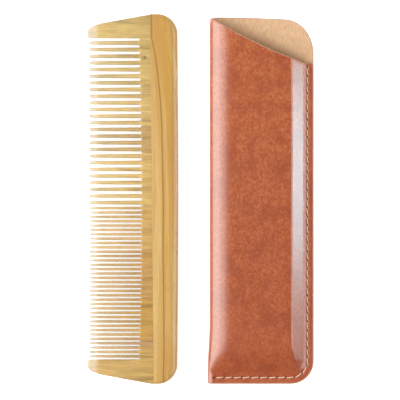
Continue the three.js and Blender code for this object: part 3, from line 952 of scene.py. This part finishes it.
def seam_offset(x, y):
    """Distance from the seam's line, and distance along it from the nearest hole."""
    dx, dy = x - CORNER_CENTRE[0], CORNER_CENTRE[1] - y
    bend_start = SEAM_TOP - CORNER_CENTRE[1]
    on_end = (dx < 0) & (dy > 0)
    turn = np.arctan2(np.clip(dy, 0, None), np.clip(dx, NOTHING, None))
    along = np.where(dy < 0, SEAM_TOP - y, bend_start + SEAM_RADIUS * turn)
    along = np.where(on_end, bend_start + SEAM_BEND - dx, along)
    away = np.where(dy < 0, np.abs(x - SEAM_X), np.abs(np.hypot(dx, dy) - SEAM_RADIUS))
    away = np.where(on_end, np.abs(y - SEAM_INSET), away)
    inside = (along > 0) & (along < SEAM_LENGTH) & ((dx > 0) | (dy > 0))
    away = np.where(inside, away, FAR)
    from_hole = (along - SEAM_MARGIN + STITCH_PITCH / 2) % STITCH_PITCH - STITCH_PITCH / 2
    return away, from_hole


def relief(s, x, y):
    """How far the outer face is pressed in: a groove at the back, the seam's dips in front."""
    away, from_hole = seam_offset(x, y)
    depth, half, fade = GROOVE
    groove = depth * (1 - smooth((away - half) / fade))
    line = SEAM_DIP[0] * np.exp(-((away / SEAM_DIP[1]) ** 2))
    line = line + HOLE_DIP[0] * np.exp(-((away**2 + from_hole**2) / HOLE_DIP[1]))
    return np.where(s < 0, groove, line)


def blank_grid(spacing):
    """Points spread over the flat blank, closer together at the fold, the slopes and the seam."""
    slope_start, slope_end, low_end = SLEEVE_WIDTH - 12, SLEEVE_WIDTH - 3.6, 18
    flat_x = np.arange(FOLD_HIGH_RUN, slope_start, 2.2 * spacing)
    slope_x = np.arange(slope_start, slope_end, 0.55 * spacing)
    margin_x = np.arange(slope_end, SLEEVE_WIDTH, 1.1 * spacing)
    high_y = np.arange(low_end, SLEEVE_LENGTH, 2.6 * spacing)
    low_y = np.arange(0.6, low_end, 0.6 * spacing)
    points = []
    for y in [*low_y, *high_y]:
        fold = np.linspace(-LOW_ARC, HIGH_ARC, int(26 / spacing))[:-1]
        points += [(s, y) for s in fold]
        points += [(float(front_s(x, y)), y) for x in [*flat_x, *slope_x, *margin_x]]
        step = 4 if y > low_end else 2.4
        back_x = np.arange(FOLD_LOW_RUN + step, SLEEVE_WIDTH, step * spacing)
        points += [(float(back_s(x)), y) for x in back_x]
    return points


def seam_grid():
    """Rows of points along both sides of the seam, on the two panels."""
    points = []
    for distance in np.arange(0.3, SEAM_LENGTH - 0.2, STITCH_PITCH / 5):
        (x, y), (ux, uy) = seam_line(distance)
        for away in (-1.1, -0.82, -0.66, -0.4, 0.4, 0.66, 0.82, 1.1):
            px, py = x - uy * away, y + ux * away
            points += [(float(front_s(px, py)), py), (float(back_s(px)), py)]
    return points


def hole_loop(distance, front, grow):
    """A stitch hole's edge on the flat blank, anticlockwise, slanted across the seam."""
    (x, y), (ux, uy) = seam_line(distance)
    lean = math.radians(HOLE_LEAN)
    ax = ux * math.cos(lean) - uy * math.sin(lean)
    ay = ux * math.sin(lean) + uy * math.cos(lean)
    loop = []
    for turn in np.radians(np.arange(0, 360, 36)):
        along, across = (HOLE[0] + grow) * math.cos(turn), (HOLE[1] + grow) * math.sin(turn)
        px, py = x + ax * along - ay * across, y + ay * along + ax * across
        s = float(front_s(px, py)) if front else float(back_s(px))
        loop.append((s, py))
    return loop if front else loop[::-1]


def clear_of(points, loops, gap):
    """The points that keep a distance from the edges of some loops."""
    spots = np.array(points)
    keep = np.ones(len(spots), bool)
    for loop in loops:
        start = np.array(loop)
        run = np.roll(start, -1, axis=0) - start
        low, high = start.min(0) - gap, start.max(0) + gap
        near = np.nonzero(keep & np.all((spots > low) & (spots < high), axis=1))[0]
        for first in range(0, len(near), 2000):
            some = near[first:first + 2000]
            offset = spots[some][:, None, :] - start[None]
            share = np.clip((offset * run).sum(2) / np.maximum((run * run).sum(1), 1e-12), 0, 1)
            distance = np.linalg.norm(offset - share[..., None] * run, axis=2).min(1)
            keep[some[distance < gap]] = False
    return [tuple(p) for p in spots[keep]]


EDGE_CLEAR, HOLE_CLEAR, SEAM_CLEAR = 0.4, 0.16, 1.3  # room kept free of the blank's spread points


def plan_of(s, y):
    """X and Y in the sleeve of places on the flat blank."""
    x, y, _ = sheet_points(s, y, 0.0).T
    return x - SLEEVE_LOW[0], y - SLEEVE_LOW[1]


def spread_points(loops, holes, spacing):
    """Points over the blank, clear of its outline and its holes."""
    spread = blank_grid(spacing)
    if holes:
        away, _ = seam_offset(*plan_of(*np.array(spread).T))
        spread = [p for p, gap in zip(spread, away) if gap > SEAM_CLEAR] + seam_grid()
    spread = clear_of(spread, [loops[0][0]], EDGE_CLEAR)
    return clear_of(spread, [rings[0] for rings in loops[1:]], HOLE_CLEAR)


def edge_profile(thickness, ease):
    """How far in and how deep each ring of a rounded edge lies, from the outer face to the inner one."""
    turns = np.radians(np.linspace(0, 90, 4))
    outer = [(EDGE_RUN * ease * (1 - math.sin(t)), ease * (1 - math.cos(t))) for t in turns]
    return outer + [(run, thickness - depth) for run, depth in outer[::-1]]


OUTER_FACE, EDGE, INNER_FACE, HOLE_WALL = 0, 1, 2, 3


def sheet(base, thickness, ease, inset, holes, spacing):
    """Points, faces and finishes of one folded layer with rounded edges. base is its depth under
    the sleeve's outer face, and ease the depth of its edges' rounding."""
    profile = edge_profile(thickness, ease)
    loops = [[outline(inset + run) for run, _ in profile]]
    for distance in holes:
        for front in (True, False):
            grown = [HOLE_EASE * run / ease / EDGE_RUN for run, _ in profile]
            loops.append([hole_loop(distance, front, grow) for grow in grown])
    flat, depths, faces, finishes, corner, rims = [], [], [], [], [], []
    for number, rings in enumerate(loops):
        count, start = len(rings[0]), len(flat)
        size = 1 if number == 0 else HOLE_EASE / ease
        for ring, (_, depth) in zip(rings, profile):
            under = depth * size if depth < thickness / 2 else thickness - (thickness - depth) * size
            flat += ring
            depths += [under] * count
        rims.append(range(len(corner), len(corner) + count))
        corner += [(start + i, start + (len(profile) - 1) * count + i) for i in range(count)]
        walls = ring_faces(start, count, len(profile))
        faces += walls if number == 0 else [quad[::-1] for quad in walls]
        finishes += [EDGE if number == 0 else HOLE_WALL] * len(walls)
    spread = spread_points(loops, holes, spacing)
    corner += [(len(flat) + i, len(flat) + len(spread) + i) for i in range(len(spread))]
    flat += spread + spread
    depths += [0.0] * len(spread) + [thickness] * len(spread)
    cut = triangulate([flat[outer] for outer, _ in corner], rims[0], rims[1:])
    faces += [[corner[v][0] for v in face] for face in cut]
    faces += [[corner[v][1] for v in face[::-1]] for face in cut]
    finishes += [OUTER_FACE] * len(cut) + [INNER_FACE] * len(cut)
    s, y = np.array(flat).T
    depth = np.array(depths)
    if holes:
        depth = depth + relief(s, *plan_of(s, y)) * (1 - depth / thickness)
    return sheet_points(s, y, base + depth), faces, finishes


def stitch_tube(path, sides, number):
    """A closed tube of twisted two-ply thread along a path, with each place's sideways direction."""
    points, faces = [], []
    path = [np.array(p) for p in path]
    travelled = 0.0
    for index, centre in enumerate(path):
        ahead, behind = path[min(index + 1, len(path) - 1)], path[max(index - 1, 0)]
        along = (ahead - behind) / np.linalg.norm(ahead - behind)
        side = np.array(sides[index])
        side = side - along * side.dot(along)
        side /= np.linalg.norm(side)
        up = np.cross(along, side)
        if index:
            travelled += np.linalg.norm(centre - path[index - 1])
        for turn in np.linspace(0, 2 * math.pi, THREAD_SIDES, endpoint=False):
            lobe = 0.87 + 0.13 * math.cos(2 * turn - 2 * math.pi * travelled / PLY_TWIST + number)
            radius = THREAD_RADIUS * lobe
            points.append(centre + side * radius * math.cos(turn) + up * radius * math.sin(turn))
    rings = len(path)
    for level in range(rings - 1):
        for i in range(THREAD_SIDES):
            a, b = level * THREAD_SIDES + i, level * THREAD_SIDES + (i + 1) % THREAD_SIDES
            faces.append([a, b, b + THREAD_SIDES, a + THREAD_SIDES])
    faces.append(list(range(THREAD_SIDES))[::-1])
    faces.append([(rings - 1) * THREAD_SIDES + i for i in range(THREAD_SIDES)])
    return points, faces


def stitches(front):
    """Every stitch on one face of the sleeve, each dipping into the holes at its ends."""
    low, high = FRONT_STITCH if front else BACK_STITCH
    points, faces = [], []
    for number, (start, end) in enumerate(zip(HOLE_PLACES, HOLE_PLACES[1:])):
        path, sides = [], []
        for share in np.linspace(0, 1, 17):
            (x, y), (ux, uy) = seam_line(mix(start + STITCH_SETBACK, end - STITCH_SETBACK, share))
            lean = STITCH_LEAN * (2 * share - 1)
            lift = 1 - abs(2 * share - 1) ** 4
            path.append((x - uy * lean + SLEEVE_LOW[0], y + ux * lean + SLEEVE_LOW[1], mix(low, high, lift)))
            sides.append((-uy, ux, 0.0))
        tube_points, tube_faces = stitch_tube(path, sides, number)
        faces += [[v + len(points) for v in face] for face in tube_faces]
        points += tube_points
    return points, faces


def add_sleeve():
    """The leather, its lining and the two threads of its seam."""
    edge = two_toned("painted_edge", (0.9, 0.9, 3.0), 3.0, (182, 120, 94), (208, 150, 124), 0.42, 0.04)
    # The stitch holes' walls are dark brown: painted shade in the holes.
    hole = two_toned("painted_shade_hole_wall", (3.0, 3.0, 3.0), 2.0, (84, 42, 28), (112, 60, 40), 0.85, 0.04)
    thread = two_toned("waxed_thread", (3.5, 3.5, 3.5), 2.0, (226, 170, 140), (250, 212, 184), 0.5, 0.03)

    leather = sheet(0.0, LEATHER, EDGE_DROP, 0.0, HOLE_PLACES, 1.0)
    finishes = [tanned_leather(), edge, edge, hole]
    make_piece("sleeve_outer_leather", leather, "sleeve", "sleeve_leather", finishes)
    lining = sheet(LEATHER + LAYER_GAP, LINING, LINING_EASE, LINING_INSET, [], 1.4)[:2]
    make_piece("sleeve_suede_lining", lining, "sleeve", "sleeve_lining", [suede_lining()])
    for side, node in (("front", "needle_thread"), ("back", "bobbin_thread")):
        loops = stitches(side == "front")
        make_piece(f"{side}_stitches", loops, "sleeve", node, [thread], sharp_angle=60)


# -------- sleeve materials


# From the closed end (0) to the mouth end (1): lighter towards the mouth end and darker towards the closed
# end, painted light for the lights falling brighter on the mouth end.
BASE_TONES = [(0.0, (186, 96, 60)), (0.2, (178, 90, 54)), (0.6, (180, 92, 56)), (1.0, (190, 98, 56))]
LIGHT_TONES = [(0.0, (192, 104, 66)), (0.5, (196, 110, 70)), (1.0, (206, 118, 70))]


def tanned_leather():
    """Glossy orange-brown leather, mottled, with painted shade that makes it darker and redder towards the
    closed end.
    """
    leather = Nodes("glossy_leather", LEATHER_GLOSS)
    place = x, y, z = leather.place()
    clouds = leather.noise(place, (0.11, 0.09, 0.11), 2.0, 0.5)
    mottle = leather.noise(place, (0.72, 0.62, 0.72), 3.0, 0.62, 0.4)
    speck = leather.noise(place, (1.9, 1.9, 1.9), 2.0, 0.6)
    along = leather.along(y)
    base = leather.ramp(along, BASE_TONES)
    light = leather.ramp(along, LIGHT_TONES)
    colour = leather.blend(leather.span(mottle, 0.42, 0.6, 0.0, 0.95), base, light)
    colour = leather.stain(colour, (158, 76, 46), 0.5, clouds, 0.56, 0.36)
    colour = leather.stain(colour, (146, 68, 42), 0.42, speck, 0.6, 0.38)
    leather.set({"Base Color": colour, "Roughness": leather.span(mottle, 0.3, 0.7, 0.34, 0.46)})
    leather.set({"Coat Weight": 1.0, "Coat Roughness": 0.25, "Coat IOR": 1.6, "Specular IOR Level": 0.5})
    pebbled = leather.bump(leather.cells(place, 1.9), 0.022)
    leather.set({"Normal": leather.bump(mottle, 0.05, pebbled)})
    return leather.material


def two_toned(name, waves, detail, dark, light, roughness, relief):
    """Two tones in soft patches, with a little relief."""
    made = Nodes(name)
    patch = made.noise(made.place(), waves, detail, 0.6)
    made.set({"Base Color": made.ramp(patch, [(0.35, dark), (0.65, light)])})
    made.set({"Roughness": roughness, "Normal": made.bump(patch, relief)})
    return made.material


MOUTH_SLANT = (MOUTH_DROP - 0.1) / (MOUTH_END[0] - MOUTH_START)
MOUTH_LEVEL = SLEEVE_HIGH[1] + MOUTH_SLANT * (SLEEVE_LOW[0] + MOUTH_START)


def suede_lining():
    """Cream suede with a nap that lies along the sleeve, with painted shade behind the front panel's edge."""
    suede = Nodes("cream_suede")
    place = x, y, z = suede.place()
    streaks = suede.noise(place, (2.6, 0.3, 2.6), 3.0, 0.6, 0.3)
    nap = suede.noise(place, (5.0, 2.2, 5.0), 2.0, 0.7)
    colour = suede.ramp(streaks, [(0.3, (212, 168, 130)), (0.5, (232, 190, 152)), (0.7, (244, 206, 168))])
    colour = suede.stain(colour, (180, 136, 98), 0.3, nap, 0.55, 0.35)
    # Painted shade behind the front panel's edge, where it shades the lining, stronger towards the side seam.
    above_edge = suede.math("SUBTRACT", suede.math("MULTIPLY_ADD", x, MOUTH_SLANT, y), MOUTH_LEVEL)
    painted_light_share = suede.math("MULTIPLY", suede.span(above_edge, 5.5, -2.5), suede.span(x, 8, 44, 0.2, 0.6))
    colour = suede.blend(painted_light_share, colour, (160, 118, 84))
    suede.set({"Base Color": colour, "Roughness": 0.9, "Sheen Weight": 0.25, "Sheen Roughness": 0.5})
    suede.set({"Normal": suede.bump(streaks, 0.06, suede.bump(nap, 0.08)), "Specular IOR Level": 0.2})
    return suede.material


add_camera()
add_stage()
add_comb()
add_sleeve()
